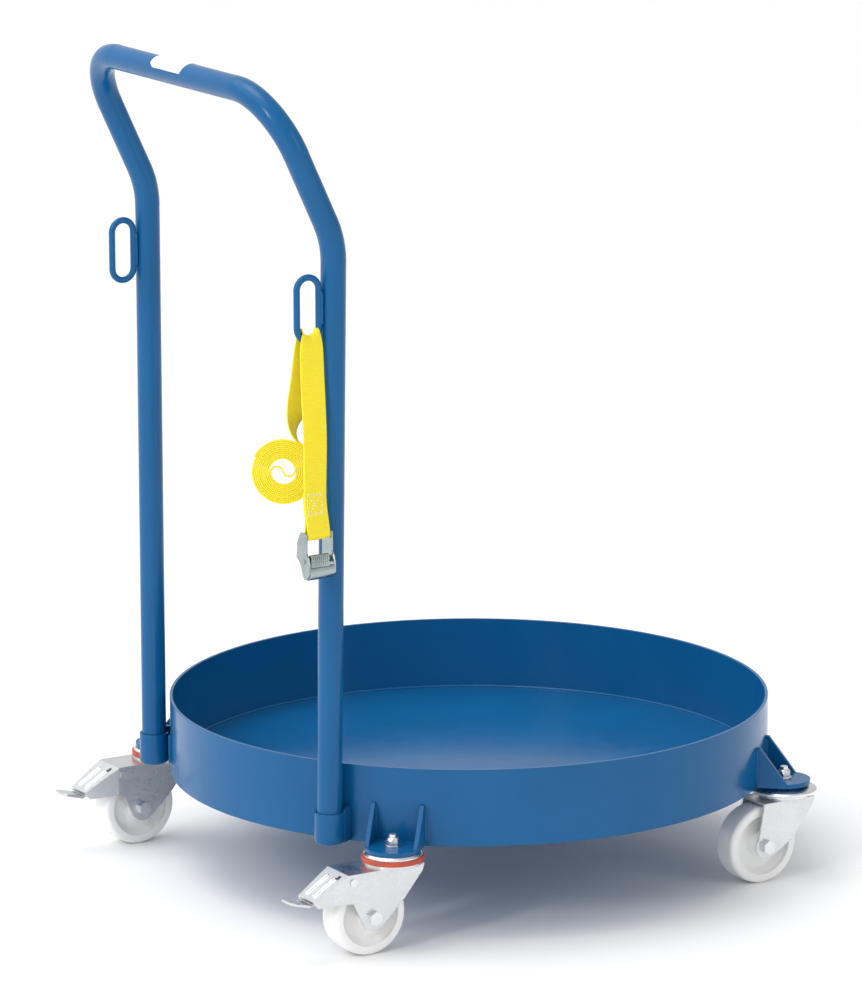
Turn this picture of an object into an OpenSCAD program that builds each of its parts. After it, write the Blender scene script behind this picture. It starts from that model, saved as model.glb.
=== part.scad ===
// Drum dolly: a round steel tray on four swivel casters, with a plug-in tube handle and a webbing strap.
// Millimetres. +Z is up and z = 0 is the floor. The handle is on the +Y side.

/* [Tray] */
// Inside diameter of the tray, for a 200 litre drum
tray_inner_d = 610; // [590:5:640]
// Thickness of the floor and the rim
tray_wall = 3; // [2:0.5:4]
// Height of the rim
rim_h = 78; // [70:1:90]
// Leg of the inside corner weld
weld_leg = 2; // [1.5:0.5:3]

/* [Caster brackets] */
// Distance from the tray's centre to the swivel axes
swivel_r = 330; // [328:1:336]
// Width of a bracket over its cheeks
bracket_w = 54; // [48:1:56]
// Thickness of a bracket
bracket_t = 4.5; // [4:0.5:5]
// Height of the cheeks where they meet the rim
cheek_h = 41.5; // [35:0.5:55]

/* [Casters] */
// Height of a caster, from the floor to the bracket
caster_h = 98; // [98:1:104]
// Wheel diameter
wheel_d = 80; // [75:1:80]
// Width of the tread
wheel_w = 28; // [24:1:30]
// Distance of the axle behind the swivel axis
trail = 34; // [30:1:36]
// Inside width of the fork
fork_inner_w = 36; // [36:1:40]
// Sheet thickness of the fork
fork_t = 2.5; // [2:0.5:3]

/* [Brake] */
// Where the hood starts to slope, behind the swivel axis
hood_y = 62.6; // [60:0.2:64]
// Slope of the hood
hood_slope = 31.3; // [29:0.1:33]
// Reach of the pedal's tip behind the swivel axis
pedal_reach = 122; // [116:1:130]

/* [Handle] */
// Outside diameter of the handle tube
tube_d = 25; // [22:0.5:26]
// Wall of the handle tube
tube_wall = 2; // [1.5:0.5:3]
// Half the distance between the legs at their bend
leg_x = 185; // [180:0.5:190]
// Distance of the legs' bend behind the tray's centre
leg_y = 267.5; // [265:0.5:270]
// Half the distance between the legs' feet
foot_x = 177.6; // [174:0.2:182]
// Distance of the legs' feet behind the tray's centre
foot_y = 272.6; // [270:0.2:276]
// Height of the bend in the legs
kink_z = 702; // [650:1:760]
// Backward slope of the handle above the bend
kink_angle = 25; // [10:1:35]
// Length from the bend to the grip bar
slope_l = 160; // [150:1:200]
// Bend radius of the bend in the legs
kink_r = 90; // [60:1:110]
// Bend radius of the top corners
corner_r = 65; // [50:1:80]

/* [Sockets] */
// Outside diameter of a socket
socket_d = 30; // [30:0.5:32]
// Height of a socket
socket_h = 32; // [28:1:40]
// Radial gap between the leg and its socket
socket_gap = 0.5; // [0.4:0.1:0.6]

/* [Strap loops] */
// Rod diameter of a strap loop
rod_d = 6.5; // [6:0.5:8]
// Height of a strap loop over its rod
loop_h = 68; // [60:1:80]
// Distance between the centre lines of a loop's two long sides
loop_w = 24.4; // [22:0.2:28]
// Height of the middle of the loops
loop_z = 638; // [620:1:650]

/* [Strap] */
// Width of the webbing
web_w = 25; // [20:1:25]
// Thickness of the webbing
web_t = 1.6; // [1.2:0.1:2]
// Outside diameter of the rolled-up end
roll_d = 64; // [50:1:66]

/* [Hidden] */
$fn = 96;

// Colours
PAINT = [0.06, 0.36, 0.64];
ZINC = [0.80, 0.82, 0.84];
NYLON = [0.93, 0.93, 0.92];
SEAL = [0.80, 0.30, 0.20];
YELLOW = [0.97, 0.88, 0.20];
WHITE = [0.95, 0.95, 0.95];

// Caster positions by angle round the tray. The two at the handle have brakes.
REAR_LEFT = 45;
REAR_RIGHT = 135;
FRONT_RIGHT = 225;
FRONT_LEFT = 315;
BRAKED = [REAR_LEFT, REAR_RIGHT];
PLAIN = [FRONT_RIGHT, FRONT_LEFT];
ALL = [REAR_LEFT, REAR_RIGHT, FRONT_RIGHT, FRONT_LEFT];

tray_r = tray_inner_d / 2;
tray_r_out = tray_r + tray_wall;
floor_top = caster_h + tray_wall;
pad = 1; // how far a cut runs past what it cuts

// The origin is under the middle of the whole object, so the tray's centre lies a little in front of it.
pedal_y = swivel_r * sin(REAR_LEFT) + pedal_reach;
tray_y = (tray_r_out - pedal_y) / 2;

// M8 fasteners
m8_r = 4;
m8_hole_r = 4.1;
m8_hex_r = 13 / 2 / cos(30);
m8_head_h = 5.3;
m8_nut_h = 8;
washer_r = 8;
washer_t = 1.6;
stud_out = 3;

// Caster details
axle_z = wheel_d / 2;
fork_w = fork_inner_w + 2 * fork_t;
fork_top_braked = 87;
fork_top_plain = 85;
crown_h = 2.5;
crown_r_braked = 30;
crown_r_plain = 25.5;
head_gap = 0.3;
ball_r = 2.4;
ball_n = 10;
ball_track_r = 17;
pin_r = 7;
run_gap = 0.05;
cup_r = 13;
cup_t = 2.1;
hub_r = 12.5;
hub_l = fork_inner_w - 2;
sleeve_r = 6;
axle_ear_r = 13.5;
shelf_y = 37;

// Brake details. The pivot lies between the wheel and the fork's top.
pivot = [57, 79];
rivet_r = 2.5;
hood_l = 43;
hood_end_w = 30;
hood_run = hood_l * cos(hood_slope);
hood_drop = hood_l * sin(hood_slope);
hood_skirt = atan((fork_w - hood_end_w) / 2 / hood_run);
shoe_gap = 4.5;

// Handle details
tube_r = tube_d / 2;
socket_bore_r = tube_r + socket_gap;
socket_floor = 4;
leg_z = caster_h + socket_floor + 0.8;
leg_angle = atan2(foot_y, foot_x);
leg_top = kink_z - kink_r * tan(kink_angle / 2);
leg_drop = leg_top - caster_h - socket_h / 2;
lean = asin((foot_y - leg_y) / leg_drop);
splay = asin((leg_x - foot_x) / leg_drop);
bar_y = leg_y + slope_l * sin(kink_angle);
bar_z = kink_z + slope_l * cos(kink_angle);
lap = 0.8; // how far a straight length runs into a bend
swell = 0.1;

// Loop details, measured from the leg's axis
loop_in = 17;
loop_mid = loop_in + loop_w / 2;
loop_straight = loop_h - rod_d - loop_w;
loop_low = loop_z - loop_straight / 2 - loop_w / 2;

// Strap and buckle, measured from the lowest point of the right loop's rod
hang = [-leg_x, leg_y + loop_mid, loop_low];
web_gap = 0.9;
buckle_at = [-20, 2.8, -188.5];
bar_r = 2.5;
roll_at = [26, 12.5, -133.5];
roll_turn = -30;
roll_hole_d = 27;
cam_at = [1, 0, -25];
buckle_w = 30.4;
cheek_t = 2;
cam_w = 24;

// ---------- helpers ----------

module from_tray() { translate([0, tray_y, 0]) children(); }

module at_caster(angle) { from_tray() translate([swivel_r * cos(angle), swivel_r * sin(angle), 0]) children(); }

module ring(r_out, r_in, z0, z1) {
    translate([0, 0, z0]) difference() {
        cylinder(r = r_out, h = z1 - z0);
        translate([0, 0, -pad]) cylinder(r = r_in, h = z1 - z0 + 2 * pad);
    }
}

// A plate whose outline is drawn in the Y-Z plane, from x0 to x1
module side_plate(x0, x1) { translate([x0, 0, 0]) rotate([90, 0, 90]) linear_extrude(x1 - x0) children(); }

// A cylinder along X, from x0 to x1, round the point at = [y, z]
module across(r, x0, x1, at = [0, 0], fn = $fn) {
    translate([x0, at[0], at[1]]) rotate([0, 90, 0]) cylinder(r = r, h = x1 - x0, $fn = fn);
}

// ---------- tray ----------

// The floor disc sits inside the rim's narrow foot, and a flush weld fills the groove between them
seam_r = tray_r - weld_leg;
seam = [[seam_r - weld_leg / 2, floor_top], [seam_r, floor_top - weld_leg * 0.75], [seam_r + weld_leg / 2, floor_top]];

module tray_floor() color(PAINT) from_tray() rotate_extrude()
    polygon([[0, caster_h], [seam_r, caster_h], seam[1], seam[0], [0, floor_top]]);

module tray_rim() color(PAINT) from_tray() rotate_extrude()
    polygon([[seam_r, caster_h], [tray_r_out, caster_h], [tray_r_out, caster_h + rim_h], [tray_r, caster_h + rim_h],
        [tray_r, floor_top], seam[2], seam[1]]);

module tray_weld() color(PAINT) from_tray() rotate_extrude() polygon(seam);

// The bracket's footprint: a tongue with a round end over the swivel axis
module tongue() {
    translate([swivel_r, 0]) circle(r = bracket_w / 2);
    translate([tray_r_out - 10, -bracket_w / 2]) square([swivel_r - tray_r_out + 10, bracket_w]);
}

module cheek_outline() {
    polygon([[tray_r_out - 10, caster_h], [tray_r_out - 10, caster_h + cheek_h],
        [tray_r_out + 2, caster_h + cheek_h], [swivel_r + 8, caster_h + bracket_t], [swivel_r + 8, caster_h]]);
}

module bracket(angle) color(PAINT) from_tray() rotate([0, 0, angle]) difference() {
    union() {
        translate([0, 0, caster_h]) linear_extrude(bracket_t) tongue();
        intersection() {
            translate([0, 0, caster_h]) linear_extrude(cheek_h) tongue();
            for (y = [-bracket_w / 2, bracket_w / 2 - bracket_t])
                translate([0, y + bracket_t, 0]) rotate([90, 0, 0]) linear_extrude(bracket_t) cheek_outline();
        }
    }
    translate([0, 0, caster_h - pad]) cylinder(r = tray_r_out, h = rim_h + 2 * pad);
    translate([swivel_r, 0, caster_h - pad]) cylinder(r = m8_hole_r, h = bracket_t + 2 * pad);
}

// A short tube with a closed, rounded bottom
module socket(side) color(PAINT) from_tray() translate([side * foot_x, foot_y, caster_h + 0.5]) rotate_extrude()
    difference() {
        union() {
            translate([0, socket_floor]) square([socket_d / 2, socket_h - socket_floor]);
            square([socket_d / 2 - socket_floor, socket_floor]);
            translate([socket_d / 2 - socket_floor, socket_floor]) circle(r = socket_floor);
        }
        translate([0, socket_floor]) square([socket_bore_r, socket_h]);
        translate([-socket_d, 0]) square([socket_d, socket_h]);
    }

// A plate beside each socket, welded to it and to the rim
module socket_webs() color(PAINT) from_tray() for (m = [0, 1]) mirror([m, 0, 0]) difference() {
    rotate([0, 0, leg_angle]) translate([tray_r_out - 4, -socket_d / 2 - 1, caster_h + 2]) cube([20, 5, 34]);
    translate([0, 0, caster_h]) cylinder(r = tray_r_out + 0.2, h = rim_h);
    translate([foot_x, foot_y, caster_h]) cylinder(r = socket_d / 2 + 0.05, h = rim_h);
}

// ---------- caster fasteners and swivel heads, fixed to the brackets ----------

function fork_top(angle) = angle < 180 ? fork_top_braked : fork_top_plain;
function cup_top(angle) = fork_top(angle) - fork_t - 0.2;
function race_z(angle) = fork_top(angle) + crown_h + 2 * ball_r + 0.1;
plate_top = caster_h + bracket_t;
nut_z = plate_top + washer_t;

module mounting_bolts() color(ZINC) for (a = ALL) at_caster(a) {
    head_z = cup_top(a) - cup_t - m8_head_h;
    translate([0, 0, head_z]) cylinder(r = m8_hex_r, h = m8_head_h, $fn = 6);
    translate([0, 0, head_z]) cylinder(r = m8_r, h = nut_z + m8_nut_h + stud_out - head_z);
}

module lock_nuts() color(ZINC) for (a = ALL) at_caster(a) translate([0, 0, nut_z]) difference() {
    union() {
        cylinder(r = m8_hex_r, h = m8_nut_h - 2.5, $fn = 6);
        cylinder(r = 6, h = m8_nut_h);
    }
    translate([0, 0, -pad]) cylinder(r = m8_r, h = m8_nut_h + 2 * pad);
}

module plate_washers() color(ZINC) for (a = ALL) at_caster(a) ring(washer_r, m8_hole_r, plate_top, nut_z);

// The upper race, with the pin that the fork turns on
module swivel_heads_braked() color(ZINC) for (a = BRAKED) at_caster(a) rotate_extrude() polygon([
    [m8_hole_r, cup_top(a)], [pin_r, cup_top(a)], [pin_r, race_z(a)],
    [29.2, race_z(a)], [29.2, race_z(a) + 1.4], [27.5, caster_h - 0.3], [22, caster_h], [m8_hole_r, caster_h]]);

// The unbraked casters have a wide dished race that hangs over the dust ring
module swivel_heads_plain() color(ZINC) for (a = PLAIN) at_caster(a) rotate_extrude() polygon([
    [m8_hole_r, cup_top(a)], [pin_r, cup_top(a)], [pin_r, race_z(a)], [22, race_z(a)], [31, race_z(a) - 1],
    [31.7, race_z(a) - 2.2], [33.3, race_z(a) - 2.2], [33.9, race_z(a) - 1.6], [33.9, race_z(a) + 0.2],
    [32.5, race_z(a) + 1.4], [27, race_z(a) + 2.9], [21, race_z(a) + 4.9], [18, caster_h],
    [m8_hole_r, caster_h]]);

module bearing_cups() color(ZINC) for (a = ALL) at_caster(a) ring(cup_r, m8_hole_r, cup_top(a) - cup_t, cup_top(a));

module bearing_balls() color(ZINC) for (a = ALL) at_caster(a) for (i = [0 : ball_n - 1])
    rotate([0, 0, i * 360 / ball_n])
        translate([ball_track_r, 0, fork_top(a) + crown_h + ball_r + 0.05]) sphere(r = ball_r, $fn = 24);

module head_ring(a) {
    z = fork_top(a) + crown_h;
    if (a < 180) color(SEAL) at_caster(a) ring(31, 20.5, z, race_z(a) - head_gap);
    else color(ZINC) at_caster(a) ring(28.7, 20.5, z, z + 2.6);
}

// ---------- forks ----------

// The cheek of a braked fork: it carries on under the hood as far as the hood's bend
module braked_cheek() {
    polygon([[-24, fork_top_braked], [-22, 80], [-1, 54.6], [trail - 10, axle_z - 9.5], [trail + 11, axle_z - 8],
        [hood_y - 5, 57.7], [hood_y, 57.7], [hood_y, fork_top_braked]]);
    translate([trail, axle_z]) circle(r = axle_ear_r);
}

module plain_cheek() {
    polygon([[-24, fork_top_plain], [-24, 82], [0, 46.2], [trail - 10, axle_z - 9.5], [trail + 12, axle_z - 5],
        [shelf_y, fork_top_plain]]);
    translate([trail, axle_z]) circle(r = 13);
}

// The hood's skirt, in the plane of the skirt: 0 is the hood's bend
module hood_skirt_outline() {
    top = fork_top_braked - 0.5;
    polygon([[-0.3, 57.7], [-0.3, top], [hood_run, top - hood_drop], [hood_run, top - hood_drop - 2.5],
        [hood_run - 5, 56.9]]);
}

module hood_slope_frame() { translate([0, hood_y, fork_top_braked]) rotate([-hood_slope, 0, 0]) children(); }

// The hood carries on from the fork's top sheet, bends down and narrows
module hood() {
    intersection() {
        side_plate(-fork_w / 2, fork_w / 2) polygon([[0, fork_top_braked], [hood_y, fork_top_braked],
            [hood_y + hood_run, fork_top_braked - hood_drop],
            [hood_y + hood_run - fork_t * sin(hood_slope), fork_top_braked - hood_drop - fork_t * cos(hood_slope)],
            [hood_y - fork_t * tan(hood_slope / 2), fork_top_braked - fork_t], [0, fork_top_braked - fork_t]]);
        linear_extrude(caster_h) for (m = [0, 1]) mirror([m, 0]) polygon([[-1, -pad], [fork_w / 2 - 0.2, -pad],
            [fork_w / 2 - 0.2, hood_y], [hood_end_w / 2 - 0.2, hood_y + hood_run], [hood_end_w / 2 - 4, 2 * hood_y],
            [-1, 2 * hood_y]]);
    }
    hood_slope_frame() for (x = [-7, 7]) translate([x, 10, -0.7]) {
        rotate([-90, 0, 0]) cylinder(r = 2.2, h = hood_l - 16);
        sphere(r = 2.2);
        translate([0, hood_l - 16, 0]) sphere(r = 2.2);
    }
    for (m = [0, 1]) mirror([m, 0, 0]) translate([fork_w / 2, hood_y, 0]) rotate([0, 0, hood_skirt])
        side_plate(-fork_t, 0) hood_skirt_outline();
}

module fork_top_plate(angle, back_y) {
    top = fork_top(angle);
    translate([0, 0, top - fork_t]) linear_extrude(fork_t) {
        circle(r = 24);
        translate([-fork_w / 2, -10]) square([fork_w, back_y + 10]);
    }
    translate([0, 0, top]) cylinder(r = angle < 180 ? crown_r_braked : crown_r_plain, h = crown_h);
}

module fork(angle) color(ZINC) at_caster(angle) difference() {
    union() {
        fork_top_plate(angle, angle < 180 ? hood_y / 2 : shelf_y);
        for (x = [-fork_w / 2, fork_inner_w / 2]) side_plate(x, x + fork_t)
            if (angle < 180) braked_cheek(); else plain_cheek();
        if (angle < 180) hood();
    }
    translate([0, 0, fork_top(angle) - 10]) cylinder(r = pin_r + run_gap, h = 20);
    across(m8_hole_r, -fork_w, fork_w, [trail, axle_z]);
    if (angle < 180) {
        across(rivet_r, -fork_w, fork_w, pivot);
        hood_slope_frame() translate([-13, 4, -2 * fork_t]) cube([5, 5.5, 4 * fork_t]);
    }
}

// ---------- wheels and axles ----------

// Half section of the wheel: x is the radius and y runs along the axle
module wheel_section() {
    edge_r = 4;
    rim_in = wheel_d / 2 - 9;
    difference() {
        union() {
            translate([rim_in, -wheel_w / 2]) square([wheel_d / 2 - edge_r - rim_in, wheel_w]);
            translate([rim_in, edge_r - wheel_w / 2]) square([wheel_d / 2 - rim_in, wheel_w - 2 * edge_r]);
            for (y = [-1, 1]) translate([wheel_d / 2 - edge_r, y * (wheel_w / 2 - edge_r)]) circle(r = edge_r);
            polygon([[0, -5], [rim_in - 5, -4], [rim_in + 0.5, -10], [rim_in + 0.5, 10], [rim_in - 5, 4], [0, 5]]);
            translate([0, -hub_l / 2]) square([hub_r, hub_l]);
        }
        translate([-pad, -wheel_w]) square([sleeve_r + run_gap + pad, 2 * wheel_w]);
    }
}

module wheel(angle) color(NYLON) at_caster(angle) translate([0, trail, axle_z]) rotate([0, 90, 0])
    rotate_extrude() wheel_section();

module axle_sleeve(angle) color(ZINC) at_caster(angle) difference() {
    across(sleeve_r, -fork_inner_w / 2, fork_inner_w / 2, [trail, axle_z]);
    across(m8_hole_r, -fork_w, fork_w, [trail, axle_z]);
}

module axle_bolt(angle) color(ZINC) at_caster(angle) {
    across(m8_hex_r, -fork_w / 2 - m8_head_h, -fork_w / 2, [trail, axle_z], 6);
    across(m8_r, -fork_w / 2 - m8_head_h, fork_w / 2 + m8_nut_h + 2, [trail, axle_z]);
}

module axle_nut(angle) color(ZINC) at_caster(angle) difference() {
    union() {
        across(m8_hex_r, fork_w / 2, fork_w / 2 + m8_nut_h - 2.5, [trail, axle_z], 6);
        across(6, fork_w / 2, fork_w / 2 + m8_nut_h, [trail, axle_z]);
    }
    across(m8_r, 0, fork_w, [trail, axle_z]);
}

// ---------- brakes ----------

// Side view of the lever's plate: under the hood, then the pedal's tip, which turns up
module lever_outline() {
    end_y = pedal_reach;
    polygon([[62.3, 82.3], [65, 80.9], [99, 60.4], [end_y - 0.5, 65.8], [end_y, 63.4], [99.5, 57.4],
        [96, 58.7], [64, 78], [61.3, 76.5]]);
}

module lever_plan() {
    polygon([[-12.5, 50], [12.5, 50], [12.5, 64], [10, 98], [11.5, 101], [11.5, pedal_reach - 4],
        [8, pedal_reach], [-8, pedal_reach], [-11.5, pedal_reach - 4], [-11.5, 101], [-10, 98], [-12.5, 64]]);
}

module brake_lever(angle) color(ZINC) at_caster(angle) difference() {
    union() {
        intersection() {
            side_plate(-fork_w, fork_w) lever_outline();
            linear_extrude(caster_h) lever_plan();
        }
        for (x = [-12.5, 9.5]) side_plate(x, x + 3) {
            translate(pivot) circle(r = 4.4);
            polygon([[pivot[0], pivot[1] + 4.4], [66, 80.3], [66, 77.2], [pivot[0] + 2, pivot[1] - 3.9]]);
        }
        side_plate(-9, 9) polygon([[63, 78], [65, 79], [79, 70.5], [79, 55], [62, 66]]);
    }
    across(rivet_r + run_gap, -fork_w, fork_w, pivot);
    across(wheel_d / 2 + shoe_gap, -fork_w, fork_w, [trail, axle_z]);
}

module brake_rivet(angle) color(ZINC) at_caster(angle) {
    across(rivet_r, -fork_w / 2 - 1, fork_w / 2 + 1, pivot);
    for (x = [-fork_w / 2 - 1.4, fork_w / 2]) across(4, x, x + 1.4, pivot);
}

// A torsion spring round the rivet, with one leg under the fork's top
module brake_spring(angle) color(ZINC) at_caster(angle) {
    for (x = [-5.25 : 1.5 : 5.25]) translate([x, pivot[0], pivot[1]]) rotate([0, 90, 0])
        rotate_extrude() translate([3.6, 0]) circle(r = 0.8, $fn = 24);
    translate([5.25, pivot[0], pivot[1] + 3.3]) rotate([90, 0, 0]) cylinder(r = 0.7, h = 12, $fn = 24);
}

// ---------- handle ----------

// A straight length of tube along +Z, or of rod when the bore is 0
module pipe(r, bore, l) {
    difference() {
        cylinder(r = r, h = l);
        if (bore > 0) translate([0, 0, -pad]) cylinder(r = bore, h = l + 2 * pad);
    }
}

// A bend that starts along +Z and turns towards +X
module elbow(r, bore, bend_r, angle) {
    translate([bend_r, 0, 0]) rotate([90, 0, 0]) rotate([0, 0, 180 - angle]) rotate_extrude(angle = angle)
        translate([bend_r, 0]) difference() {
            circle(r = r);
            if (bore > 0) circle(r = bore);
        }
}

// The leg at x = -leg_x, its bend, the slope and the corner. The bends are a hair thicker, as lap joints.
module handle_half() {
    bore = tube_r - tube_wall;
    cut = kink_r * tan(kink_angle / 2);
    translate([-leg_x, leg_y, 0]) {
        translate([0, 0, leg_top]) rotate([lean, -splay, 0]) translate([0, 0, leg_z - leg_top])
            pipe(tube_r, bore, leg_top - leg_z + lap);
        translate([0, 0, kink_z - cut]) rotate([0, 0, 90]) elbow(tube_r + swell, bore - swell, kink_r, kink_angle);
        translate([0, 0, kink_z]) rotate([-kink_angle, 0, 0]) {
            translate([0, 0, cut - lap]) pipe(tube_r, bore, slope_l - corner_r - cut + 2 * lap);
            translate([0, 0, slope_l - corner_r]) elbow(tube_r + swell, bore - swell, corner_r, 90);
        }
    }
}

module handle_tube() color(PAINT) from_tray() {
    $fn = 40;
    bar_half = leg_x - corner_r + lap;
    handle_half();
    mirror([1, 0, 0]) handle_half();
    translate([-bar_half, bar_y, bar_z]) rotate([0, 90, 0]) pipe(tube_r, tube_r - tube_wall, 2 * bar_half);
}

module strap_loops() color(PAINT) from_tray() for (side = [-1, 1])
    translate([side * leg_x, leg_y + loop_mid, loop_z]) {
        for (y = [-1, 1]) translate([0, y * loop_w / 2, -loop_straight / 2]) pipe(rod_d / 2, 0, loop_straight);
        for (m = [0, 1]) mirror([0, 0, m]) translate([0, -loop_w / 2, loop_straight / 2])
            rotate([0, 0, 90]) elbow(rod_d / 2, 0, loop_w / 2, 180);
    }

// A bead between each loop and its leg
module loop_welds() color(PAINT) from_tray() for (m = [0, 1]) mirror([m, 0, 0]) translate([-leg_x, leg_y, 0])
    difference() {
        translate([-2.5, tube_r - 1, loop_z - 20]) cube([5, loop_in - tube_r - 0.2, 40]);
        translate([0, 0, leg_top]) rotate([lean, -splay, 0]) translate([0, 0, -100]) cylinder(r = tube_r + 0.05, h = 100);
        translate([0, loop_in, loop_z - 40]) cylinder(r = rod_d / 2 + 0.02, h = 80);
    }

// A blank plate that hugs the grip bar, from the front to just over its top
module name_plate() color(WHITE) from_tray() translate([-33, bar_y, bar_z]) rotate([0, 90, 0]) rotate([0, 0, 104])
    rotate_extrude(angle = 111) translate([tube_r + 0.02, 0]) square([0.3, 65]);

// ---------- strap and buckle ----------

module from_hang() { from_tray() translate(hang) children(); }

// The sewn end: over the loop's rod, down the front and round the buckle's bar
module strap_front_fall() color(YELLOW) from_hang() {
    r_in = rod_d / 2 + web_gap;
    r_out = r_in + web_t;
    bar_r_in = bar_r + 0.4;
    bar_r_out = bar_r_in + web_t;
    translate([0, 4, 0]) rotate([90, 0, 0]) linear_extrude(8) difference() {
        circle(r = r_out);
        circle(r = r_in);
        translate([-r_out, -2 * r_out]) square(2 * r_out);
    }
    translate([0, buckle_at[1] + web_w / 2, 0]) rotate([90, 0, 0]) linear_extrude(web_w) {
        polygon([[-r_in, 0], [-r_out, 0], [buckle_at[0] - web_t, buckle_at[2] + bar_r_out - 0.8],
            [buckle_at[0] + web_t, buckle_at[2] + bar_r_out - 0.8]]);
        translate([buckle_at[0], buckle_at[2]]) difference() {
            circle(r = bar_r_out);
            circle(r = bar_r_in);
        }
    }
}

// The loose end, which twists as it comes down to the roll
module strap_rear_fall() color(YELLOW) from_hang() hull() {
    translate([rod_d / 2 + web_gap, -5, -0.5]) cube([web_t, 16, 0.5]);
    translate([13, -1, -102]) rotate([0, 0, roll_turn - 90]) cube([web_t, 12, 0.5]);
}

module strap_roll() color(YELLOW) from_hang() translate(roll_at) rotate([0, 0, roll_turn]) rotate([0, 90, 0])
    translate([0, 0, -web_w / 2]) ring(roll_d / 2, roll_hole_d / 2, 0, web_w);

module from_buckle() { from_hang() translate(buckle_at) children(); }

// A cylinder along Y, of length l about the middle
module along_y(r, l) { rotate([90, 0, 0]) translate([0, 0, -l / 2]) cylinder(r = r, h = l); }

// Side view of a cheek, x towards the leg and y up, from the webbing's bar
module buckle_cheek() {
    polygon([[-3.6, 3], [-3.6, -16], [-6, -20], [-9, -27], [-9, -37], [-5, -42], [0, -43], [3, -39], [7, -29],
        [13, -24], [15, -22], [13.9, -19], [13.9, -9], [7, 3]]);
}

// Two cheeks, the bar that holds the webbing, and a curved lip below the cam
module buckle_frame() color(ZINC) from_buckle() difference() {
    union() {
        along_y(bar_r, buckle_w);
        for (y = [cheek_t - buckle_w / 2, buckle_w / 2]) translate([0, y, 0]) rotate([90, 0, 0])
            linear_extrude(cheek_t) buckle_cheek();
        translate([0, buckle_w / 2 - 1, 0]) rotate([90, 0, 0]) linear_extrude(buckle_w - 2)
            polygon([[-8.6, -32.5], [-8.6, -36.6], [-5, -41.4], [0, -42.4], [0, -40.8], [-4.4, -39.9], [-7, -36],
                [-7, -32.5]]);
    }
    translate(cam_at) along_y(2, buckle_w + 2 * pad);
}

module cam_pin() color(ZINC) from_buckle() translate(cam_at) {
    along_y(2, buckle_w + 0.8);
    for (y = [-1, 1]) translate([0, y * (buckle_w / 2 + 0.3), 0]) along_y(3, 0.6);
}

module cam_spring() color(ZINC) from_buckle() for (y = [-12.6, -11.5, -10.4]) translate(cam_at + [0, y, 0])
    rotate([90, 0, 0]) rotate_extrude() translate([2.9, 0]) circle(r = 0.5, $fn = 24);

// A toothed cam with a thumb pad
module cam_lever() color(ZINC) from_buckle() difference() {
    cam_y = 1.8;
    translate([0, cam_y, 0]) union() {
        translate(cam_at) along_y(4.4, cam_w - 3.6);
        translate([0, cam_w / 2 - 1.8, 0]) rotate([90, 0, 0]) linear_extrude(cam_w - 3.6)
            polygon([[-5.8, -17.5], [-7.6, -18.5], [-8.2, -30], [-6.4, -30.5], [-1, -26], [1, -21.5]]);
        for (i = [-4 : 4]) for (z = [-21.6, -26.6]) translate([-8.1, i * 2.2, z]) cube([1, 1.1, 4.2], center = true);
    }
    translate(cam_at) along_y(2.05, 2 * buckle_w);
}

// ---------- nodes ----------

tray_floor();
tray_rim();
tray_weld();
bracket(REAR_LEFT);  // bracket_rear_left
bracket(REAR_RIGHT);  // bracket_rear_right
bracket(FRONT_RIGHT);  // bracket_front_right
bracket(FRONT_LEFT);  // bracket_front_left
socket(1);  // socket_left
socket(-1);  // socket_right
socket_webs();
mounting_bolts();
lock_nuts();
plate_washers();
swivel_heads_braked();
swivel_heads_plain();
bearing_cups();
bearing_balls();
handle_tube();
strap_loops();
loop_welds();
name_plate();
strap_front_fall();
strap_rear_fall();
strap_roll();
buckle_frame();
cam_pin();
cam_spring();
cam_lever();
fork(REAR_LEFT);  // fork_rear_left
fork(REAR_RIGHT);  // fork_rear_right
fork(FRONT_RIGHT);  // fork_front_right
fork(FRONT_LEFT);  // fork_front_left
head_ring(REAR_LEFT);  // head_ring_rear_left
head_ring(REAR_RIGHT);  // head_ring_rear_right
head_ring(FRONT_RIGHT);  // head_ring_front_right
head_ring(FRONT_LEFT);  // head_ring_front_left
axle_bolt(REAR_LEFT);  // axle_bolt_rear_left
axle_bolt(REAR_RIGHT);  // axle_bolt_rear_right
axle_bolt(FRONT_RIGHT);  // axle_bolt_front_right
axle_bolt(FRONT_LEFT);  // axle_bolt_front_left
axle_nut(REAR_LEFT);  // axle_nut_rear_left
axle_nut(REAR_RIGHT);  // axle_nut_rear_right
axle_nut(FRONT_RIGHT);  // axle_nut_front_right
axle_nut(FRONT_LEFT);  // axle_nut_front_left
axle_sleeve(REAR_LEFT);  // axle_sleeve_rear_left
axle_sleeve(REAR_RIGHT);  // axle_sleeve_rear_right
axle_sleeve(FRONT_RIGHT);  // axle_sleeve_front_right
axle_sleeve(FRONT_LEFT);  // axle_sleeve_front_left
wheel(REAR_LEFT);  // wheel_rear_left
wheel(REAR_RIGHT);  // wheel_rear_right
wheel(FRONT_RIGHT);  // wheel_front_right
wheel(FRONT_LEFT);  // wheel_front_left
brake_lever(REAR_LEFT);  // brake_lever_rear_left
brake_lever(REAR_RIGHT);  // brake_lever_rear_right
brake_rivet(REAR_LEFT);  // brake_rivet_rear_left
brake_rivet(REAR_RIGHT);  // brake_rivet_rear_right
brake_spring(REAR_LEFT);  // brake_spring_rear_left
brake_spring(REAR_RIGHT);  // brake_spring_rear_right
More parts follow.
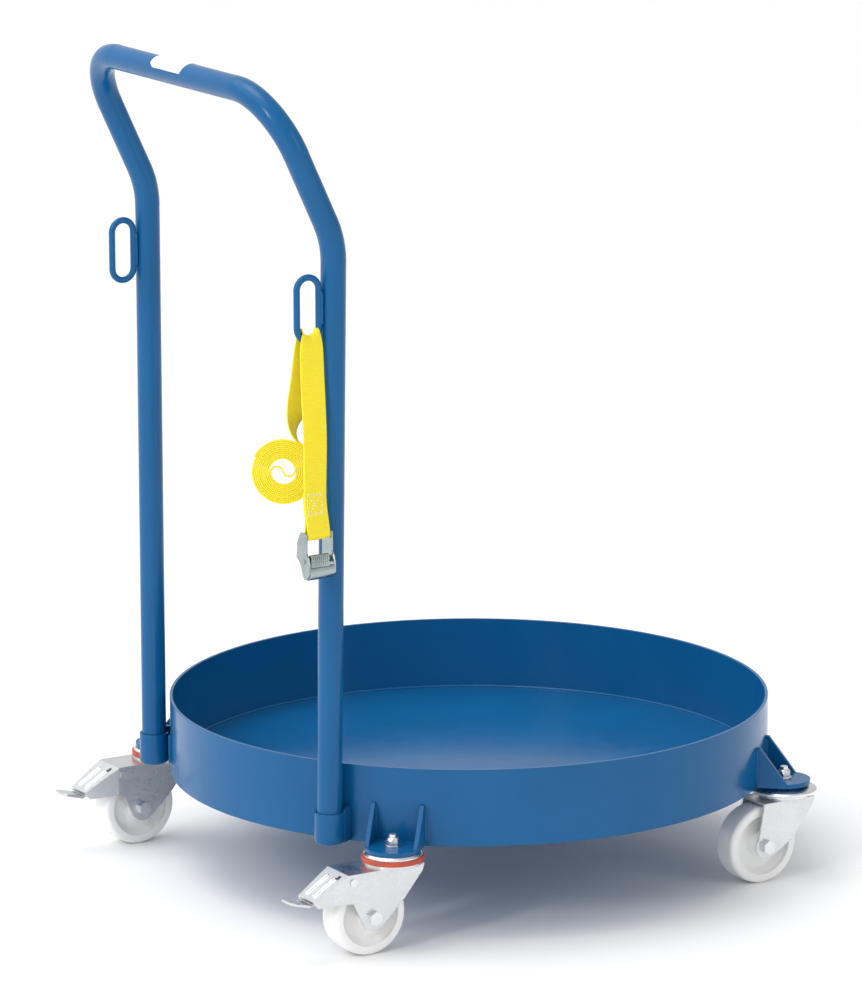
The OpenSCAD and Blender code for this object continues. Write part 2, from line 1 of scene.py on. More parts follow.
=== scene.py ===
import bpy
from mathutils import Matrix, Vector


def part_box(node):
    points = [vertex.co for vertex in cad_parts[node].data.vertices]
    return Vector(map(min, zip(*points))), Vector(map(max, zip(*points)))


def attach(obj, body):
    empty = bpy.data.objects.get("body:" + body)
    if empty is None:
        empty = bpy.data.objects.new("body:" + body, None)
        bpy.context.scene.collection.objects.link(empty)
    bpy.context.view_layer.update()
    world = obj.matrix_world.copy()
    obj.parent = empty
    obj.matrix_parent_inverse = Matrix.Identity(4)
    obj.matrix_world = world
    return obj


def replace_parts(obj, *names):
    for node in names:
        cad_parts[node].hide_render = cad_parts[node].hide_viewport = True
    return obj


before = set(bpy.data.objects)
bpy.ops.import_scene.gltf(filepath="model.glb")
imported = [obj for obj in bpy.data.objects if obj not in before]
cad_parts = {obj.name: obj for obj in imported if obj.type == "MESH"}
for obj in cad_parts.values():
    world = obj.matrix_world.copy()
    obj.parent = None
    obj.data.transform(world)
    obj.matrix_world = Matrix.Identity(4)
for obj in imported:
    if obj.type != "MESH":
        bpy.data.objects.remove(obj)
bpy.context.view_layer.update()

import math
import random

import bmesh
import bpy
from mathutils import Matrix, Vector as V

MM = 0.001
scene = bpy.context.scene


# ---------- driving sizes: millimetres and degrees, unless a comment says otherwise ----------

TRAY_Y = sum(p.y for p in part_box("tray_rim")) / 2  # metres from the origin to the tray's centre

CASTERS = {"rear_left": 45, "rear_right": 135, "front_right": 225, "front_left": 315}  # angle round the tray
SWIVEL_R = 330  # from the tray's centre to each caster's swivel

HANG = V((-0.185, 0.2967 + TRAY_Y, 0.60725))  # the middle of the right loop's lower rod, in metres
CREST_R = 4.15  # from the rod's middle to the middle of the webbing over it
WEB_W, WEB_T = 25.0, 1.85
LAYER = 1.938  # from one layer of the roll to the next
FALL = 188.5  # from the loop's rod down to the buckle's bar
BUCKLE_X = -20.0  # from the rod out to the buckle's bar
BAR_R = 3.4  # from the buckle bar's middle to the middle of the webbing round it
CURL_R, CURL_REACH = 8.6, 13  # the webbing's curl across its width over the rod, and how far down it fades

# points on the sewn end, round the bar, on the front fall, over the rod, on the rear fall and in one turn
BEHIND_STEPS, BAR_STEPS, FRONT_STEPS, CREST_STEPS, REAR_STEPS, TURN_STEPS = 18, 17, 96, 13, 45, 60

ROLL_AT = V((26.6, 13.6, -133.0))  # the roll's middle, from the rod
ROLL_RIGHT = V((-0.5, -0.866, 0))  # directions in which the roll's turns and its width lie
ROLL_WIDTH = V((-0.848, 0.489, 0.204))
ROLL_OUTER, ROLL_INNER = 32.2, 12.3  # radii of its outermost turn and of its hollow middle
ROLL_START = 62  # where round the roll the rear fall joins it

GRIP_Y, GRIP_Z = 0.3351189 + TRAY_Y, 0.8470092  # the grip bar's middle line, in metres


# ---------- camera ----------

def make_camera():
    data = bpy.data.cameras.new("camera")
    data.lens, data.sensor_width = 216, 36
    data.clip_start, data.clip_end = 0.1, 100
    cam = bpy.data.objects.new("camera", data)
    scene.collection.objects.link(cam)
    heading, pitch, roll = (math.radians(a) for a in (-121.5352, -12.8632, -0.2192))
    turn = Matrix.Rotation(heading, 4, "Z") @ Matrix.Rotation(math.pi / 2 + pitch, 4, "X")
    turn = turn @ Matrix.Rotation(roll, 4, "Z")
    cam.matrix_world = Matrix.Translation((-5.08135, 3.16283 + TRAY_Y, 1.74417)) @ turn
    scene.camera = cam


make_camera()


# ---------- materials ----------

class Nodes:
    """A short way to write a node material."""

    def __init__(self, name):
        self.mat = bpy.data.materials.new(name)
        self.mat.use_nodes = True
        self.tree = self.mat.node_tree
        self.tree.nodes.clear()
        self.out = self.add("ShaderNodeOutputMaterial")
        self.shader = self.add("ShaderNodeBsdfPrincipled")
        self.link(self.shader, 0, self.out, "Surface")
        self.coords = self.add("ShaderNodeTexCoord")

    def add(self, kind, **values):
        """A new node. A capitalised value is one of its inputs, and any other is a setting."""
        node = self.tree.nodes.new(kind)
        for key, value in values.items():
            if hasattr(node, key) and not key[0].isupper():
                setattr(node, key, value)
            else:
                node.inputs[key.replace("_", " ")].default_value = value
        return node

    def link(self, a, out, b, into):
        self.tree.links.new(a.outputs[out], b.inputs[into])
        return b

    def noise(self, scale, detail=3.0, rough=0.5, stretch=None):
        node = self.add("ShaderNodeTexNoise", Scale=scale, Detail=detail, Roughness=rough)
        if stretch:
            spread = self.add("ShaderNodeMapping", Scale=stretch)
            self.link(self.coords, "Object", spread, "Vector")
            self.link(spread, 0, node, "Vector")
        else:
            self.link(self.coords, "Object", node, "Vector")
        return node

    def ramp(self, node, out, low, high, a=0.35, b=0.65):
        """Turns a value from a to b into a colour from low to high."""
        ramp = self.add("ShaderNodeValToRGB")
        for stop, place, colour in zip(ramp.color_ramp.elements, (a, b), (low, high)):
            stop.position, stop.color = place, (*colour, 1)
        self.link(node, out, ramp, "Fac")
        return ramp

    def span(self, node, out, low, high, a=0.3, b=0.7):
        """Turns a value from a to b into one from low to high."""
        span = self.add("ShaderNodeMapRange", From_Min=a, From_Max=b, To_Min=low, To_Max=high)
        self.link(node, out, span, "Value")
        return span

    def colour(self, node):
        self.link(node, 0, self.shader, "Base Color")

    def roughness(self, node):
        self.link(node, 0, self.shader, "Roughness")

    def bump(self, node, out, distance, strength=1.0, under=None):
        bump = self.add("ShaderNodeBump", Strength=strength, Distance=distance)
        self.link(node, out, bump, "Height")
        if under:
            self.link(under, 0, bump, "Normal")
        self.link(bump, 0, self.shader, "Normal")
        return bump

    def rounded(self, radius):
        """Edges that catch the light as if rounded to this radius, in metres."""
        return self.add("ShaderNodeBevel", samples=4, Radius=radius)

    def set(self, **values):
        for key, value in values.items():
            self.shader.inputs[key.replace("_", " ")].default_value = value
        return self.mat


def blue_paint():
    n = Nodes("blue_paint")
    n.colour(n.ramp(n.noise(9, 4), "Fac", (0.0030, 0.098, 0.265), (0.0042, 0.110, 0.292)))
    n.roughness(n.span(n.noise(60, 3), "Fac", 0.17, 0.25))
    n.bump(n.noise(34, 1), "Fac", 0.0003, 0.10, n.rounded(0.0010))
    return n.set(Coat_Weight=0.06, Coat_Roughness=0.05, Specular_IOR_Level=0.24)


def zinc(name, low, high, rough, brushed=(1, 1, 1), edge=0.0005):
    n = Nodes(name)
    n.colour(n.ramp(n.noise(30, 3, 0.5), "Fac", low, high, 0.3, 0.7))
    n.roughness(n.span(n.noise(90, 3, 0.5, brushed), "Fac", *rough))
    waves = n.bump(n.noise(18, 2), "Fac", 0.0004, 0.10, n.rounded(edge))
    n.bump(n.noise(900, 2, 0.6, brushed), "Fac", 0.00002, 0.4, waves)
    return n.set(Metallic=1.0)


def nylon(name, centre):
    """Moulded nylon with faint turning rings about an axle along X through centre."""
    n = Nodes(name)
    moved = n.add("ShaderNodeMapping", Location=tuple(-c for c in centre))
    n.link(n.coords, "Object", moved, "Vector")
    turned = n.add("ShaderNodeTexWave", wave_type="RINGS", rings_direction="X", Scale=260.0,
                   Distortion=0.6, Detail=1.0)
    n.link(moved, 0, turned, "Vector")
    n.colour(n.ramp(n.noise(40, 4), "Fac", (0.90, 0.90, 0.89), (0.94, 0.94, 0.935)))
    n.roughness(n.span(n.noise(130, 4), "Fac", 0.30, 0.45))
    n.bump(turned, "Fac", 0.00004, 0.35, n.rounded(0.0006))
    return n.set(Subsurface_Weight=0.25, Subsurface_Radius=(1.0, 0.9, 0.8), Subsurface_Scale=0.004)


def seal():
    n = Nodes("seal")
    n.colour(n.ramp(n.noise(60, 5), "Fac", (0.42, 0.055, 0.030), (0.58, 0.085, 0.040)))
    n.roughness(n.span(n.noise(300, 3), "Fac", 0.38, 0.55))
    n.bump(n.noise(700, 3), "Fac", 0.00006, 0.5, n.rounded(0.0006))
    return n.set(Specular_IOR_Level=0.45)


def webbing():
    """Woven tape: picks across it and warps along it, from the strap's own UVs in metres."""
    n = Nodes("webbing")
    uv = n.add("ShaderNodeUVMap", uv_map="weave")
    picks = n.add("ShaderNodeTexWave", wave_type="BANDS", bands_direction="Y", Scale=190.0,
                  Distortion=0.5, Detail=1.0, Detail_Scale=3.0)
    warps = n.add("ShaderNodeTexWave", wave_type="BANDS", bands_direction="X", Scale=330.0,
                  Distortion=0.4)
    for node in (picks, warps):
        n.link(uv, 0, node, "Vector")
    cross = n.add("ShaderNodeMath", operation="MULTIPLY")
    n.link(picks, "Fac", cross, 0)
    n.link(warps, "Fac", cross, 1)
    n.colour(n.ramp(cross, 0, (0.92, 0.74, 0.022), (1.0, 0.86, 0.050), 0.0, 0.5))
    n.roughness(n.span(n.noise(400, 3), "Fac", 0.62, 0.8))
    sag = n.bump(n.noise(60, 2), "Fac", 0.0015, 0.3)
    n.bump(cross, 0, 0.00035, 0.8, sag)
    return n.set(Sheen_Weight=0.12, Sheen_Roughness=0.4, Specular_IOR_Level=0.25,
                 Subsurface_Weight=0.08, Subsurface_Radius=(1.0, 0.8, 0.1), Subsurface_Scale=0.002)


def thread():
    n = Nodes("thread")
    n.colour(n.ramp(n.noise(900, 3), "Fac", (0.86, 0.80, 0.38), (0.95, 0.92, 0.62)))
    n.roughness(n.span(n.noise(500, 2), "Fac", 0.55, 0.7))
    return n.set(Specular_IOR_Level=0.4)


def blank_white():
    n = Nodes("blank_white")
    n.colour(n.ramp(n.noise(70, 3), "Fac", (0.80, 0.82, 0.84), (0.87, 0.88, 0.89)))
    n.roughness(n.span(n.noise(240, 3), "Fac", 0.22, 0.34))
    n.bump(n.noise(500, 2), "Fac", 0.00003, 0.4)
    return n.set(Coat_Weight=0.4, Coat_Roughness=0.1)


PAINT = blue_paint()
SHEET = zinc("zinc_sheet", (0.66, 0.675, 0.69), (0.735, 0.75, 0.76), (0.25, 0.34), (1, 1, 3), 0.0008)
BRIGHT = zinc("zinc_bright", (0.74, 0.75, 0.76), (0.84, 0.85, 0.855), (0.22, 0.34), edge=0.0004)
DULL = zinc("zinc_dull", (0.30, 0.355, 0.36), (0.44, 0.50, 0.505), (0.20, 0.34), edge=0.0004)
SEAL = seal()
WEB = webbing()
THREAD = thread()
LABEL = blank_white()

# the first row whose start fits a node's name gives its material, and the rest are bright zinc
COATS = (
    (("tray", "bracket", "socket", "handle", "strap_loops", "loop_welds"), PAINT),
    (("fork", "brake_lever"), SHEET),
    (("head_ring_rear",), SEAL),
    (("buckle", "cam"), DULL),
    (("strap_",), WEB),
    (("name_plate",), LABEL),
    (("",), BRIGHT),
)


def coat(node, material):
    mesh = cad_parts[node].data
    mesh.materials.clear()
    mesh.materials.append(material)


def middle(node):
    low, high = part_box(node)
    return (low + high) / 2


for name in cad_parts:
    coat(name, next(material for starts, material in COATS if name.startswith(starts)))
for corner in CASTERS:
    coat("wheel_" + corner, nylon("nylon_" + corner, middle("wheel_" + corner)))


# ---------- helpers for new pieces ----------

def piece(name, verts, faces, material, body, uvs=None):
    """A smooth mesh piece from points in metres, riding on a body."""
    mesh = bpy.data.meshes.new(name)
    mesh.from_pydata([tuple(v) for v in verts], [], faces)
    if uvs is not None:
        layer = mesh.uv_layers.new(name="weave")
        for loop in mesh.loops:
            layer.data[loop.index].uv = uvs[loop.vertex_index]
    bm = bmesh.new()
    bm.from_mesh(mesh)
    bmesh.ops.recalc_face_normals(bm, faces=bm.faces)
    bm.to_mesh(mesh)
    bm.free()
    mesh.materials.append(material)
    mesh.shade_smooth()
    obj = bpy.data.objects.new(name, mesh)
    scene.collection.objects.link(obj)
    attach(obj, body)
    return obj


def around(n):
    """The angles of n points round a circle."""
    return [2 * math.pi * i / n for i in range(n)]


class Parts:
    """Gathers rings of points into one mesh."""

    def __init__(self):
        self.verts, self.faces = [], []

    def rings(self, rings, ends=True):
        """Joins closed rings of equal length, and closes each end with a fan round its middle."""
        start, n = len(self.verts), len(rings[0])
        for ring in rings:
            self.verts += [V(p) for p in ring]
        for i in range(len(rings) - 1):
            for j in range(n):
                a, b = start + i * n + j, start + i * n + (j + 1) % n
                self.faces.append((a, b, b + n, a + n))
        if ends:
            for base in (start, start + (len(rings) - 1) * n):
                hub = sum((self.verts[base + j] for j in range(n)), V((0, 0, 0))) / n
                self.verts.append(hub)
                for j in range(n):
                    self.faces.append((base + j, base + (j + 1) % n, len(self.verts) - 1))

    def turned(self, profile, matrix, n=48):
        """profile is (radius, height) in millimetres, turned round the local Z axis."""
        self.rings([[matrix @ V((r * MM * math.cos(a), r * MM * math.sin(a), z * MM)) for a in around(n)]
                    for r, z in profile])

    def hexagon(self, corner_r, z0, z1, chamfer, matrix, n=72):
        """A hexagon from z0 to z1 whose far corners are cut by a cone, in millimetres."""
        def reach(a, limit):
            off = (a + math.pi / 6) % (math.pi / 3) - math.pi / 6
            return min(corner_r * math.cos(math.pi / 6) / math.cos(off), limit) * MM

        cut, steps = chamfer * 0.6, 5
        rows = [(z0, corner_r)]
        rows += [(z1 - cut * (1 - k / steps), corner_r - chamfer * k / steps) for k in range(steps + 1)]
        self.rings([[matrix @ V((reach(a, limit) * math.cos(a), reach(a, limit) * math.sin(a), z * MM))
                     for a in around(n)] for z, limit in rows])

    def tube(self, points, radius, n=10, wobble=0.0, dice=None):
        """A round rod with narrowed ends through points, all in metres."""
        rings = []
        last = len(points) - 1
        for k, p in enumerate(points):
            ahead = (V(points[min(k + 1, last)]) - V(points[max(k - 1, 0)])).normalized()
            side = ahead.cross(V((0.3, 0.2, 0.93))).normalized()
            other = ahead.cross(side)
            r = radius * (0.55 if k in (0, last) else 1)
            r *= 1 + (wobble * dice.uniform(-1, 1) if dice else 0)
            rings.append([V(p) + side * r * math.cos(a) + other * r * math.sin(a) for a in around(n)])
        self.rings(rings)

    def bead(self, a, b, radius, dice, step=1.1):
        """A weld bead from a to b, in metres, with a ripple every step millimetres."""
        count = max(3, int((V(b) - V(a)).length / MM / step))
        self.tube([V(a).lerp(V(b), k / count) for k in range(count + 1)], radius, 10, 0.13, dice)

    def made(self, name, material, body, slot, uvs=None):
        return piece(name, self.verts, self.faces, material, body, uvs)


def sharp_creases(obj, degrees=32):
    """Keeps creases over this angle sharp on a smooth-shaded piece."""
    obj.data.set_sharp_from_angle(angle=math.radians(degrees))
    return obj


# ---------- strap: one length of webbing, in millimetres from HANG ----------

def clamped(t):
    return max(0, min(1, t))


def front_fall(z):
    """The front fall's middle line at height z, and how far its width is turned, in radians."""
    t = -z / FALL
    x = -CREST_R + (BUCKLE_X - BAR_R + CREST_R) * t + 1.2 * math.sin(3.1 * t) * math.sin(9 * t)
    y = -1.2 + 1.2 * min(1, t / 0.3) + 4.6 * clamped((t - 0.3) / 0.5) - 1.8 * max(0, (t - 0.85) / 0.15)
    turn = math.radians(3.5) * math.sin(5.5 * t) * min(1, t / 0.1)
    return V((x, y, z)), turn


def curl_near_rod(distance):
    """The webbing's curl across its width where it bends over the round rod, as 1 / radius."""
    return math.exp(-(distance / CURL_REACH) ** 2) / CURL_R


def falls_and_crest():
    """From the sewn end behind the front fall, round the buckle's bar, up and over the loop's rod."""
    path = []

    def add(p, turn, curl=0.0):
        path.append((V(p), V((math.sin(turn), math.cos(turn), 0)), curl))

    sewn_end, pocket_top = -147, -170
    apart, pocket = 1.95, 4.9  # between the two layers where they are sewn, and what the bar adds
    for k in range(BEHIND_STEPS):
        z = sewn_end - (FALL + sewn_end) * k / BEHIND_STEPS
        p, turn = front_fall(z)
        gap = apart + pocket * max(0, (pocket_top - z) / (FALL + pocket_top)) ** 1.3
        add(p + V((gap, -gap * math.sin(turn), 0)), turn)
    low, turn = front_fall(-FALL)
    for k in range(BAR_STEPS):
        a = math.pi * k / (BAR_STEPS - 1)
        add((BUCKLE_X + BAR_R * math.cos(a), low.y, -FALL - BAR_R * math.sin(a)), turn)
    for k in range(1, FRONT_STEPS + 1):
        z = -FALL * (1 - k / (FRONT_STEPS + 1))
        p, turn = front_fall(z)
        add(p, turn, curl_near_rod(-z + 6))
    for k in range(CREST_STEPS):
        f = k / (CREST_STEPS - 1)
        a = math.pi * (1 - f)
        curl = math.exp(-((k - 6) / 14) ** 2) / CURL_R
        add((CREST_R * math.cos(a), -1.2 + 0.9 * f, CREST_R * math.sin(a)), 0, curl)
    return path


def roll_turns():
    """The roll's middle line in its own plane: one arm inwards, an S across the middle, one arm out."""
    turns = (ROLL_OUTER - ROLL_INNER) / (2 * LAYER)
    steps = int(turns * TURN_STEPS)
    shrink = (ROLL_OUTER - ROLL_INNER) / steps
    start = math.radians(ROLL_START)
    end = start - 2 * math.pi * turns

    def at(r, b, middle=(0, 0)):
        return middle[0] + r * math.cos(b), middle[1] + r * math.sin(b)

    arm_in = [at(ROLL_OUTER - shrink * k, start - 2 * math.pi * turns * k / steps) for k in range(steps + 1)]
    bend_r, core_steps, spare_steps = ROLL_INNER / 2, 20, 15
    hub = at(bend_r, end)
    core = [at(bend_r, end - math.pi * k / core_steps, hub) for k in range(1, core_steps + 1)]
    hub = (-hub[0], -hub[1])
    core += [at(bend_r, end + math.pi * k / core_steps, hub) for k in range(1, core_steps + 1)]
    arm_out = [at(ROLL_INNER + shrink * k, end + math.pi + 2 * math.pi * turns * k / steps)
               for k in range(1, steps - spare_steps + 1)]
    return arm_in + core + arm_out


def strap_path():
    """(place, direction of the width, curl) for each point from the sewn end to the roll's loose end."""
    dice = random.Random(7)
    path = falls_and_crest()
    up = ROLL_WIDTH.cross(ROLL_RIGHT).normalized()
    up = up if up.z > 0 else -up
    points = roll_turns()

    # the rear fall is a smooth curve from the rod to the roll's first point, which turns over as it falls
    start = math.radians(ROLL_START)
    heading = (ROLL_RIGHT * math.sin(start) - up * math.cos(start)).normalized()
    a = V((CREST_R, -0.3, -0.5))
    b = a + V((2, 5, -62))
    d = ROLL_AT + ROLL_RIGHT * points[0][0] + up * points[0][1]
    c = d - heading * 9 + V((0, 0, 9))
    for k in range(1, REAR_STEPS + 1):
        t = k / (REAR_STEPS + 1)
        p = a * (1 - t) ** 3 + b * 3 * t * (1 - t) ** 2 + c * 3 * t * t * (1 - t) + d * t ** 3
        s = clamped((t - 0.35) / 0.6)
        ease = s * s * (3 - 2 * s)
        path.append((p, V((0, 1, 0)).lerp(ROLL_WIDTH, ease).normalized(), curl_near_rod(k * 2.4 + 6)))

    # the layers drift sideways a little, as hand-rolled webbing does
    drift, goal = 0.0, 0.0
    for k, (u, v) in enumerate(points):
        if k % 40 == 0:
            goal = dice.uniform(-0.55, 0.55)
        drift += (goal - drift) * 0.06
        path.append((ROLL_AT + ROLL_RIGHT * u + up * v + ROLL_WIDTH * drift, ROLL_WIDTH, 0.0))
    return path


def strap_mesh():
    """The webbing's mesh, its UVs in metres and its length in millimetres."""
    path = strap_path()
    n = 11
    rings, along, length = [], [], 0.0
    for k, (p, w, curl) in enumerate(path):
        t = (path[min(k + 1, len(path) - 1)][0] - path[max(k - 1, 0)][0]).normalized()
        w = (w - t * w.dot(t)).normalized()
        out = t.cross(w).normalized()
        top, under = [], []
        for j in range(n):
            side, lift = WEB_W * (j / (n - 1) - 0.5), 0.0
            if curl > 1e-4:
                side, lift = math.sin(side * curl) / curl, (1 - math.cos(side * curl)) / curl
            base = p + w * side + V((0, 0, lift))
            half = WEB_T / 2 * (0.9 if j in (0, n - 1) else 1.0)
            top.append(base + out * half)
            under.append(base - out * half)
        rings.append([HANG + q * MM for q in top + under[::-1]])
        if k:
            length += (p - path[k - 1][0]).length
        along.append(length)
    parts = Parts()
    parts.rings(rings)
    across = list(range(n)) + list(range(n - 1, -1, -1))
    uvs = [(WEB_W * MM * j / (n - 1), run * MM) for run in along for j in across]
    uvs += [(0, 0), (0, length * MM)]
    return parts, uvs, length


def stitches():
    """A square with a cross in it, sewn through both layers above the buckle."""
    parts = Parts()
    dice = random.Random(3)
    first = BEHIND_STEPS + BAR_STEPS
    path = strap_path()[first:first + FRONT_STEPS]
    foot, off_middle, proud = -167.6, 1.3, 0.1
    pitch, thread_r = 3.0, 0.42

    def at(u, v):
        """u across from the square's middle and v up from its foot, on the front of the webbing."""
        z = foot + v
        near = min(range(1, len(path) - 1), key=lambda k: abs(path[k][0].z - z))
        p, w, _ = path[near]
        t = (path[near + 1][0] - path[near - 1][0]).normalized()
        w = (w - t * w.dot(t)).normalized()
        p = p + t * ((z - p.z) / t.z)
        return HANG + (p + w * (u + off_middle) + t.cross(w) * (WEB_T / 2 + proud)) * MM

    def line(a, b):
        count = int(math.hypot(b[0] - a[0], b[1] - a[1]) / pitch)
        for k in range(count):
            f, g = (k + 0.10) / count, (k + 0.86) / count
            jig = dice.uniform(-0.08, 0.08)
            spots = (f, (f * 2 + g) / 3, (f + g * 2) / 3, g)
            points = [at(a[0] + (b[0] - a[0]) * h + jig, a[1] + (b[1] - a[1]) * h) for h in spots]
            parts.tube(points, thread_r * MM, 8)

    top, side, second_row = 19.6, 8.5, 1.3
    corners = [(-side, 0.0), (side, 0.0), (side, top), (-side, top)]
    for k in range(4):
        line(corners[k], corners[(k + 1) % 4])
    line(corners[0], corners[2])
    line(corners[3], corners[1])
    for v in (second_row, top - second_row):
        line((-side + 0.6, v), (side - 0.6, v))
    return parts.made("strap_stitches", THREAD, "strap", "webbing")


strap_parts, strap_uvs, strap_length = strap_mesh()
strap = strap_parts.made("strap_webbing", WEB, "strap", "webbing", strap_uvs)
sharp_creases(strap, 50)
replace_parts(strap, "strap_front_fall", "strap_rear_fall", "strap_roll")
sewn = stitches()


def buckle_cover():
    """The curved sheet that closes the buckle's lower half, from cheek to cheek."""
    parts = Parts()
    low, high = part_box("buckle_frame")
    left, right = low.y + 1.4 * MM, high.y - 1.4 * MM
    x0, z0 = HANG.x + BUCKLE_X * MM, HANG.z - FALL * MM
    curve = [(-8.3, -30.2), (-9.4, -31.0), (-9.9, -33.5), (-9.9, -36.5), (-8.9, -39.4), (-6.6, -41.8),
             (-3.4, -43.2), (-0.2, -43.4), (2.2, -42.2), (3.6, -40.2)]
    inward, upward = 1.3, 1.1  # from the outer skin to the inner one
    rings = []
    for y, inset in ((left, 0.35), (left + 0.5 * MM, 0.0), (right - 0.5 * MM, 0.0), (right, 0.35)):
        half = inset * 0.5
        outer = [V((x0 + (x + half) * MM, y, z0 + (z + half) * MM)) for x, z in curve]
        inner = [V((x0 + (x + inward - half) * MM, y, z0 + (z + upward) * MM)) for x, z in curve]
        rings.append(outer + inner[::-1])
    parts.rings(rings)
    return sharp_creases(parts.made("buckle_cover", DULL, "buckle", "zinc"), 40)


buckle_cover()


# ---------- blank plate on the grip bar ----------

def blank_plate():
    """A thin plate bent round the bar, with one cut corner and a waved edge."""
    parts = Parts()
    columns, rows = 40, 44
    inside_r, outside_r = 12.52, 12.86
    first, sweep = 14, 111

    def skin(r):
        grid = []
        for j in range(rows + 1):
            f = j / rows
            a = math.radians(first + sweep * f)
            left = -33 + 5.5 * (0.5 + 0.5 * math.cos(math.pi * f)) - 1.2 * math.sin(2 * math.pi * f)
            right = 32 - 6 * max(0, 1 - f / 0.16)
            y, z = GRIP_Y + r * MM * math.cos(a), GRIP_Z + r * MM * math.sin(a)
            grid.append([V(((left + (right - left) * i / columns) * MM, y, z)) for i in range(columns + 1)])
        return grid

    parts.rings([under + top[::-1] for under, top in zip(skin(inside_r), skin(outside_r))])
    return sharp_creases(parts.made("name_plate_skin", LABEL, "handle", "blank_white"))


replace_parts(blank_plate(), "name_plate")


# ---------- nuts, threads and welds ----------

def polar(angle, radius, across, z):
    """A point by the tray: its angle in degrees, radius, offset across it and height, in millimetres."""
    a = math.radians(angle)
    x = radius * math.cos(a) - across * math.sin(a)
    y = radius * math.sin(a) + across * math.cos(a)
    return V((x * MM, y * MM + TRAY_Y, z * MM))


def nuts_and_threads():
    """Lock nuts with a domed collar, each turned its own way, and the studs' threads above them."""
    low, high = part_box("lock_nuts")
    base, top = low.z / MM, high.z / MM
    stud_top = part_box("mounting_bolts")[1].z / MM
    root_r, thread_r, pitch = 3.62, 4.0, 1.0
    nuts, threads = Parts(), Parts()
    for k, angle in enumerate(CASTERS.values()):
        spin = Matrix.Translation(polar(angle, SWIVEL_R, 0, 0)) @ Matrix.Rotation(0.4 + k * 1.3, 4, "Z")
        nuts.hexagon(7.5, base, top - 2.4, 1.3, spin)
        collar = ((6.6, 2.9), (6.55, 2.2), (6.2, 1.2), (5.6, 0.5), (4.9, 0.05), (4.2, 0))
        nuts.turned([(r, top - down) for r, down in collar], spin)
        rows = []
        z = top
        while z < stud_top - 1.1:
            rows += [(root_r, z), (thread_r, z + 0.32), (thread_r, z + 0.46), (root_r, z + 0.78)]
            z += pitch
        rows += [(3.9, z + 0.1), (3.2, stud_top + 0.02)]
        threads.turned(rows, spin, 32)
    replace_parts(sharp_creases(nuts.made("lock_nuts_cut", BRIGHT, "frame", "zinc")), "lock_nuts")
    sharp_creases(threads.made("stud_threads", BRIGHT, "frame", "zinc"), 20)


def frame_welds():
    """Beads up the rim's outside, along both faces of each bracket cheek and of each socket's web."""
    dice = random.Random(11)
    parts = Parts()

    def upright(angle, wall_r, across, z0, z1, radius):
        r = math.sqrt(wall_r ** 2 - across ** 2)
        parts.bead(polar(angle, r, across, z0), polar(angle, r, across, z1), radius * MM, dice)

    cheek_faces, web_faces = (27.4, 22.6), (16.7, 11.2)
    socket_x, socket_y = 177.6, 272.6
    for angle in CASTERS.values():
        for side in (-1, 1):
            for across in cheek_faces:
                upright(angle, 308.2, side * across, 103, 137, 1.5)
    for side in (-1, 1):
        angle = math.degrees(math.atan2(socket_y, side * socket_x))
        for across in web_faces:
            upright(angle, 308.5, side * across, 102, 131, 1.6)
    return parts.made("frame_welds", PAINT, "frame", "blue_paint")


def loop_beads():
    """Two beads up each leg, one on each side of the loop's rod."""
    dice = random.Random(13)
    parts = Parts()
    rod_x, y, foot, top = 0.1850, 0.2675 + 0.0149 + TRAY_Y, 0.6215, 0.6545  # metres
    for side in (-1, 1):
        for across in (-2.6, 2.6):
            x = side * rod_x + across * MM
            parts.bead(V((x, y, foot)), V((x, y, top)), 1.7 * MM, dice)
    return parts.made("loop_weld_beads", PAINT, "handle", "blue_paint")


def tray_bead():
    """The rippled bead between the tray's floor and its rim."""
    parts = Parts()
    count, wall_r, z = 720, 0.3040, 0.1012
    rings = []
    for k in range(count + 1):
        step = k % count
        a = 2 * math.pi * step / count
        r = (1.75 + 0.22 * math.sin(step * 2.1) + 0.1 * math.sin(step * 0.37)) * MM
        out = V((math.cos(a), math.sin(a), 0))
        hub = out * wall_r + V((0, TRAY_Y, z))
        rings.append([hub + out * r * math.cos(b) + V((0, 0, r * math.sin(b))) for b in around(10)])
    parts.rings(rings, ends=False)
    return parts.made("tray_bead", PAINT, "frame", "blue_paint")


nuts_and_threads()
frame_welds()
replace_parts(tray_bead(), "tray_weld")
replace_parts(loop_beads(), "loop_welds")


# ---------- floor and light ----------

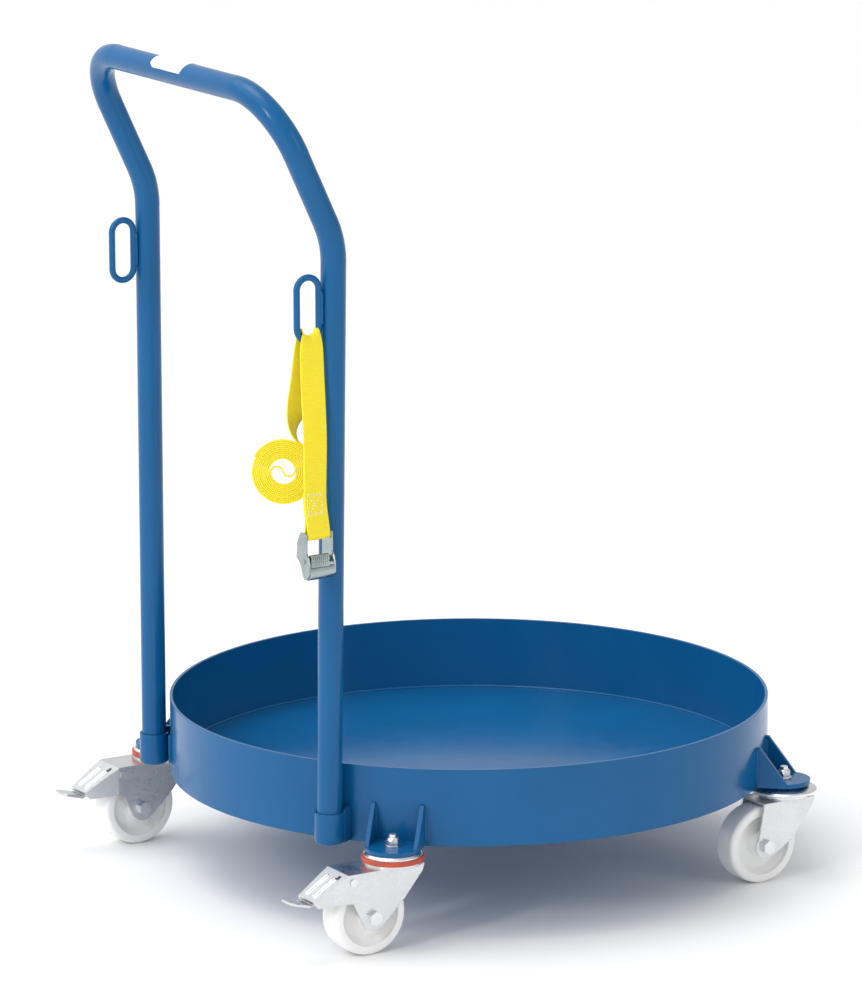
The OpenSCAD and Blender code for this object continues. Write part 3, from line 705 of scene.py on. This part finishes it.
def make_floor():
    n = Nodes("floor")
    n.colour(n.ramp(n.noise(3, 3), "Fac", (0.925, 0.925, 0.926), (0.93, 0.93, 0.93)))
    n.roughness(n.span(n.noise(8, 3), "Fac", 0.55, 0.65))
    reach = 30
    corners = [(-reach, -reach, 0), (reach, -reach, 0), (reach, reach, 0), (-reach, reach, 0)]
    mesh = bpy.data.meshes.new("floor")
    mesh.from_pydata(corners, [], [(0, 1, 2, 3)])
    mesh.materials.append(n.set(Specular_IOR_Level=0.15))
    floor = bpy.data.objects.new("floor", mesh)
    scene.collection.objects.link(floor)


def make_sky():
    """A pale sky that is brighter towards the left of the picture."""
    world = bpy.data.worlds.new("world")
    world.use_nodes = True
    tree = world.node_tree
    sky = tree.nodes["Background"]
    sky.inputs["Color"].default_value = (1.0, 1.0, 1.0, 1)
    coords = tree.nodes.new("ShaderNodeTexCoord")
    side = tree.nodes.new("ShaderNodeVectorMath")
    side.operation = "DOT_PRODUCT"
    side.inputs[1].default_value = (0.52, 0.85, 0.25)
    span = tree.nodes.new("ShaderNodeMapRange")
    for key, value in zip(("From Min", "From Max", "To Min", "To Max"), (-0.6, 0.7, 0.54, 0.98)):
        span.inputs[key].default_value = value
    tree.links.new(coords.outputs["Generated"], side.inputs[0])
    tree.links.new(side.outputs["Value"], span.inputs["Value"])
    tree.links.new(span.outputs[0], sky.inputs["Strength"])
    scene.world = world


def sun_light(name, toward, strength, angle):
    data = bpy.data.lights.new(name, "SUN")
    data.energy, data.angle = strength, math.radians(angle)
    light = bpy.data.objects.new(name, data)
    scene.collection.objects.link(light)
    light.rotation_euler = V(toward).to_track_quat("Z", "Y").to_euler()


def area_light(name, place, aim, size, power):
    data = bpy.data.lights.new(name, "AREA")
    data.shape, data.size, data.size_y = "RECTANGLE", *size
    data.energy = power
    light = bpy.data.objects.new(name, data)
    scene.collection.objects.link(light)
    turn = (V(aim) - V(place)).to_track_quat("-Z", "Y").to_matrix().to_4x4()
    light.matrix_world = Matrix.Translation(place) @ turn


def make_light():
    make_sky()
    sun_light("sky_panel", (0.28, 0.42, 1.0), 1.05, 70)
    area_light("overhead", (0.3, 0.9, 3.2), (0, 0, 0.3), (1.4, 1.4), 16)
    area_light("key", (-1.4, 3.4, 2.2), (0, 0, 0.4), (0.35, 0.9), 26)
    area_light("fill", (-3.4, -1.6, 1.8), (0, 0, 0.4), (0.8, 1.8), 10)
    scene.view_settings.view_transform = "Standard"
    scene.view_settings.look = "None"


make_floor()
make_light()
